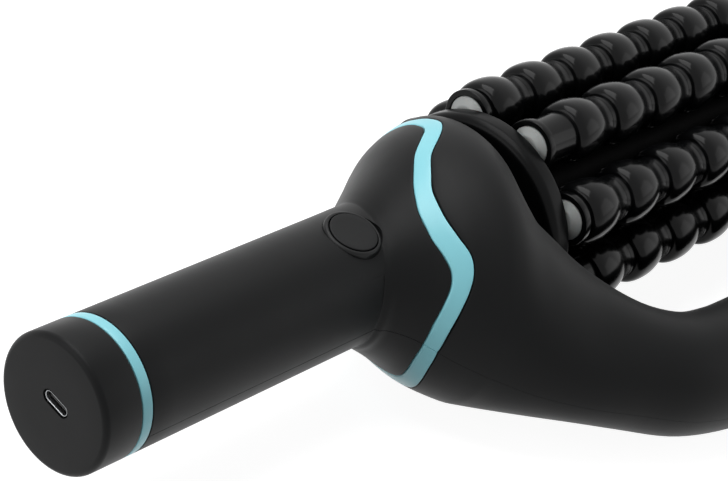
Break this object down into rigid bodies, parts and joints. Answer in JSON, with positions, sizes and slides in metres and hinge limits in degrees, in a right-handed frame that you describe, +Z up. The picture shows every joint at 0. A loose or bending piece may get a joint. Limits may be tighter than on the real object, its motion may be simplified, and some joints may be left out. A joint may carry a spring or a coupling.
{
  "type": "anti-cellulite massager",
  "caption": "Handheld anti-cellulite massager: motor-driven drum of beaded rollers in a bent housing with a main handle, a second grip and a trim band.",
  "frame": {"origin": "centre of the footprint at table height, in the resting pose", "axes": "+X along the drum's axis from the handle to the far hub; +Z up; the second grip is towards -Y"},
  "size_m": [0.4328, 0.1462, 0.0831],
  "materials": {
    "shell_black": "soft-touch matte black",
    "roller_black": "gloss black",
    "disc_black": "satin black",
    "trim_turquoise": "pale turquoise, satin",
    "sleeve_grey": "pale grey, satin",
    "steel": "bright steel",
    "works_metal": "plain metal",
    "board": "green board",
    "cell": "blue film",
    "inner_grey": "moulded grey"
  },
  "bodies": {
    "housing": {"band_lower": "trim_turquoise", "band_upper": "trim_turquoise", "battery_cell": "cell", "battery_tray": "inner_grey", "button_bezel": "shell_black", "button_switch": "steel", "charge_board": "board", "charging_port": "steel", "control_board": "board", "drive_motor": "works_metal", "end_cap": "shell_black", "end_ring": "trim_turquoise", "far_bearing": "steel", "frame_shell_lower": "shell_black", "frame_shell_upper": "shell_black", "gearbox": "works_metal", "grip_shell_lower": "shell_black", "grip_shell_upper": "shell_black", "motor_cradle": "inner_grey", "motor_plate": "inner_grey", "motor_screw_1": "steel", "motor_screw_2": "steel", "near_bearing": "steel", "shell_screw_1": "steel", "shell_screw_2": "steel", "shell_screw_3": "steel", "shell_screw_4": "steel", "shell_screw_5": "steel", "shell_screw_6": "steel"},
    "button": {"power_button": "shell_black"},
    "drum": {"output_shaft": "steel", "drive_hub": "works_metal", "near_disc": "disc_black", "far_disc": "disc_black", "drum_core": "roller_black", "far_stub": "works_metal", "roller_axle_1": "steel", "roller_axle_2": "steel", "roller_axle_3": "steel", "roller_axle_4": "steel", "roller_axle_5": "steel", "roller_axle_6": "steel", "roller_axle_7": "steel", "roller_axle_8": "steel"},
    "roller_1_body": {"roller_1": "roller_black", "roller_sleeve_1": "sleeve_grey"},
    "roller_2_body": {"roller_2": "roller_black", "roller_sleeve_2": "sleeve_grey"},
    "roller_3_body": {"roller_3": "roller_black", "roller_sleeve_3": "sleeve_grey"},
    "roller_4_body": {"roller_4": "roller_black", "roller_sleeve_4": "sleeve_grey"},
    "roller_5_body": {"roller_5": "roller_black", "roller_sleeve_5": "sleeve_grey"},
    "roller_6_body": {"roller_6": "roller_black", "roller_sleeve_6": "sleeve_grey"},
    "roller_7_body": {"roller_7": "roller_black", "roller_sleeve_7": "sleeve_grey"},
    "roller_8_body": {"roller_8": "roller_black", "roller_sleeve_8": "sleeve_grey"}
  },
  "joints": [
    {"name": "button_press", "type": "slide", "parent": "housing", "child": "button", "axis": [0, 0.2475, -0.9689], "range_m": [0, 0.001], "stiffness_N_per_m": 900},
    {"name": "drum_spin", "type": "hinge", "parent": "housing", "child": "drum", "pos_m": [0.06055, 0.03154, 0.04156], "axis": [1, 0, 0], "continuous": true},
    {"name": "roller_1_spin", "type": "hinge", "parent": "drum", "child": "roller_1_body", "pos_m": [0.06055, 0.02089, 0.07279], "axis": [1, 0, 0], "continuous": true},
    {"name": "roller_2_spin", "type": "hinge", "parent": "drum", "child": "roller_2_body", "pos_m": [0.06055, 0.00192, 0.05611], "axis": [1, 0, 0], "continuous": true},
    {"name": "roller_3_spin", "type": "hinge", "parent": "drum", "child": "roller_3_body", "pos_m": [0.06055, 0.00031, 0.03091], "axis": [1, 0, 0], "continuous": true},
    {"name": "roller_4_spin", "type": "hinge", "parent": "drum", "child": "roller_4_body", "pos_m": [0.06055, 0.01699, 0.01194], "axis": [1, 0, 0], "continuous": true},
    {"name": "roller_5_spin", "type": "hinge", "parent": "drum", "child": "roller_5_body", "pos_m": [0.06055, 0.04219, 0.01033], "axis": [1, 0, 0], "continuous": true},
    {"name": "roller_6_spin", "type": "hinge", "parent": "drum", "child": "roller_6_body", "pos_m": [0.06055, 0.06116, 0.02701], "axis": [1, 0, 0], "continuous": true},
    {"name": "roller_7_spin", "type": "hinge", "parent": "drum", "child": "roller_7_body", "pos_m": [0.06055, 0.06277, 0.05221], "axis": [1, 0, 0], "continuous": true},
    {"name": "roller_8_spin", "type": "hinge", "parent": "drum", "child": "roller_8_body", "pos_m": [0.06055, 0.04609, 0.07118], "axis": [1, 0, 0], "continuous": true}
  ]
}
